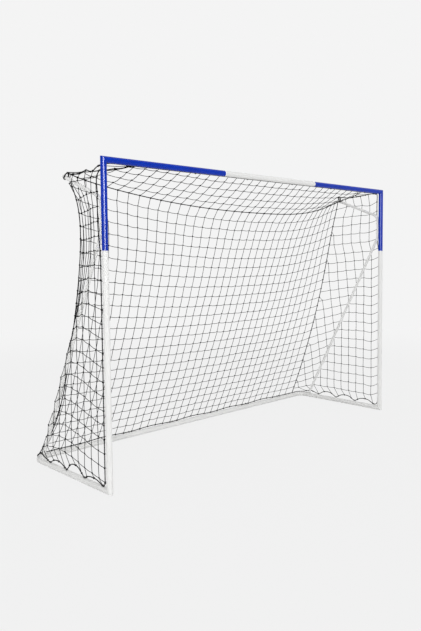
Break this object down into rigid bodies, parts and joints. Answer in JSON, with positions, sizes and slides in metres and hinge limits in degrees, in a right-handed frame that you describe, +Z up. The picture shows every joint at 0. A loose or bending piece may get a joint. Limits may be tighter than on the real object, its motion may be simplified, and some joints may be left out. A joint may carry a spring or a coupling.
{
  "type": "soccer goal",
  "caption": "Free-standing soccer goal of plug-together round steel tube with ground runners, bent side supports, a rear bar and a hung net with border ropes.",
  "frame": {"origin": "on the ground, at the middle of the goal's width and depth", "axes": "+X to the right of someone who faces the mouth, +Y from the mouth back into the net, +Z up; the mouth faces -Y"},
  "size_m": [3, 0.95, 2],
  "materials": {
    "blue_paint": "gloss",
    "white_paint": "gloss",
    "zinc_steel": "satin",
    "cap_plastic": "satin",
    "hook_plastic": "satin",
    "net_cord": "matte"
  },
  "bodies": {
    "goal": {"corner_tube_left": "blue_paint", "corner_tube_right": "blue_paint", "crossbar_middle_tube": "white_paint", "post_and_runner_left": "white_paint", "rear_elbow_left": "white_paint", "rear_bar_left": "white_paint", "side_support_left": "white_paint", "post_and_runner_right": "white_paint", "rear_elbow_right": "white_paint", "rear_bar_right": "white_paint", "side_support_right": "white_paint", "support_cap_left": "cap_plastic", "support_screw_lower_left": "zinc_steel", "support_screw_upper_left": "zinc_steel", "support_screw_foot_left": "zinc_steel", "support_cap_right": "cap_plastic", "support_screw_lower_right": "zinc_steel", "support_screw_upper_right": "zinc_steel", "support_screw_foot_right": "zinc_steel", "net_hook_left_1": "hook_plastic", "net_hook_left_2": "hook_plastic", "net_hook_left_3": "hook_plastic", "net_hook_left_4": "hook_plastic", "net_hook_right_1": "hook_plastic", "net_hook_right_2": "hook_plastic", "net_hook_right_3": "hook_plastic", "net_hook_right_4": "hook_plastic", "net_hook_rear_1": "hook_plastic", "net_hook_rear_2": "hook_plastic", "net_hook_rear_3": "hook_plastic", "net_hook_rear_4": "hook_plastic", "net_hook_rear_5": "hook_plastic", "net_hook_rear_6": "hook_plastic", "net_hook_bar_1": "hook_plastic", "net_hook_bar_2": "hook_plastic", "net_hook_bar_3": "hook_plastic", "net_hook_bar_4": "hook_plastic", "net_hook_bar_5": "hook_plastic", "net_hook_bar_6": "hook_plastic", "net_back_panel": "net_cord", "net_top_panel": "net_cord", "net_side_panel_left": "net_cord", "net_side_panel_right": "net_cord", "mouth_rope": "net_cord", "bottom_rope": "net_cord", "top_rear_rope": "net_cord", "top_side_rope_left": "net_cord", "top_side_rope_right": "net_cord", "rear_corner_rope_left": "net_cord", "rear_corner_rope_right": "net_cord"},
    "spring_button_crossbar_left": {"spring_button_crossbar_left": "zinc_steel"},
    "spring_button_crossbar_right": {"spring_button_crossbar_right": "zinc_steel"},
    "spring_button_post_left": {"spring_button_post_left": "zinc_steel"},
    "spring_button_post_right": {"spring_button_post_right": "zinc_steel"},
    "spring_button_runner_left": {"spring_button_runner_left": "zinc_steel"},
    "spring_button_runner_right": {"spring_button_runner_right": "zinc_steel"},
    "spring_button_rear_left": {"spring_button_rear_left": "zinc_steel"},
    "spring_button_rear_right": {"spring_button_rear_right": "zinc_steel"},
    "spring_button_rear_middle": {"spring_button_rear_middle": "zinc_steel"}
  },
  "joints": [
    {"name": "press_crossbar_left", "type": "slide", "parent": "goal", "child": "spring_button_crossbar_left", "axis": [0, 1, 0], "range_m": [-0.0056, 0], "stiffness_N_per_m": 2500, "springref_m": 0.002},
    {"name": "press_crossbar_right", "type": "slide", "parent": "goal", "child": "spring_button_crossbar_right", "axis": [0, 1, 0], "range_m": [-0.0056, 0], "stiffness_N_per_m": 2500, "springref_m": 0.002},
    {"name": "press_post_left", "type": "slide", "parent": "goal", "child": "spring_button_post_left", "axis": [0, 1, 0], "range_m": [-0.0056, 0], "stiffness_N_per_m": 2500, "springref_m": 0.002},
    {"name": "press_post_right", "type": "slide", "parent": "goal", "child": "spring_button_post_right", "axis": [0, 1, 0], "range_m": [-0.0056, 0], "stiffness_N_per_m": 2500, "springref_m": 0.002},
    {"name": "press_runner_left", "type": "slide", "parent": "goal", "child": "spring_button_runner_left", "axis": [1, 0, 0], "range_m": [-0.0056, 0], "stiffness_N_per_m": 2500, "springref_m": 0.002},
    {"name": "press_runner_right", "type": "slide", "parent": "goal", "child": "spring_button_runner_right", "axis": [-1, 0, 0], "range_m": [-0.0056, 0], "stiffness_N_per_m": 2500, "springref_m": 0.002},
    {"name": "press_rear_left", "type": "slide", "parent": "goal", "child": "spring_button_rear_left", "axis": [0, 0.7071, -0.7071], "range_m": [-0.0056, 0], "stiffness_N_per_m": 2500, "springref_m": 0.002},
    {"name": "press_rear_right", "type": "slide", "parent": "goal", "child": "spring_button_rear_right", "axis": [0, 0.7071, -0.7071], "range_m": [-0.0056, 0], "stiffness_N_per_m": 2500, "springref_m": 0.002},
    {"name": "press_rear_middle", "type": "slide", "parent": "goal", "child": "spring_button_rear_middle", "axis": [0, 0.7071, -0.7071], "range_m": [-0.0056, 0], "stiffness_N_per_m": 2500, "springref_m": 0.002}
  ]
}
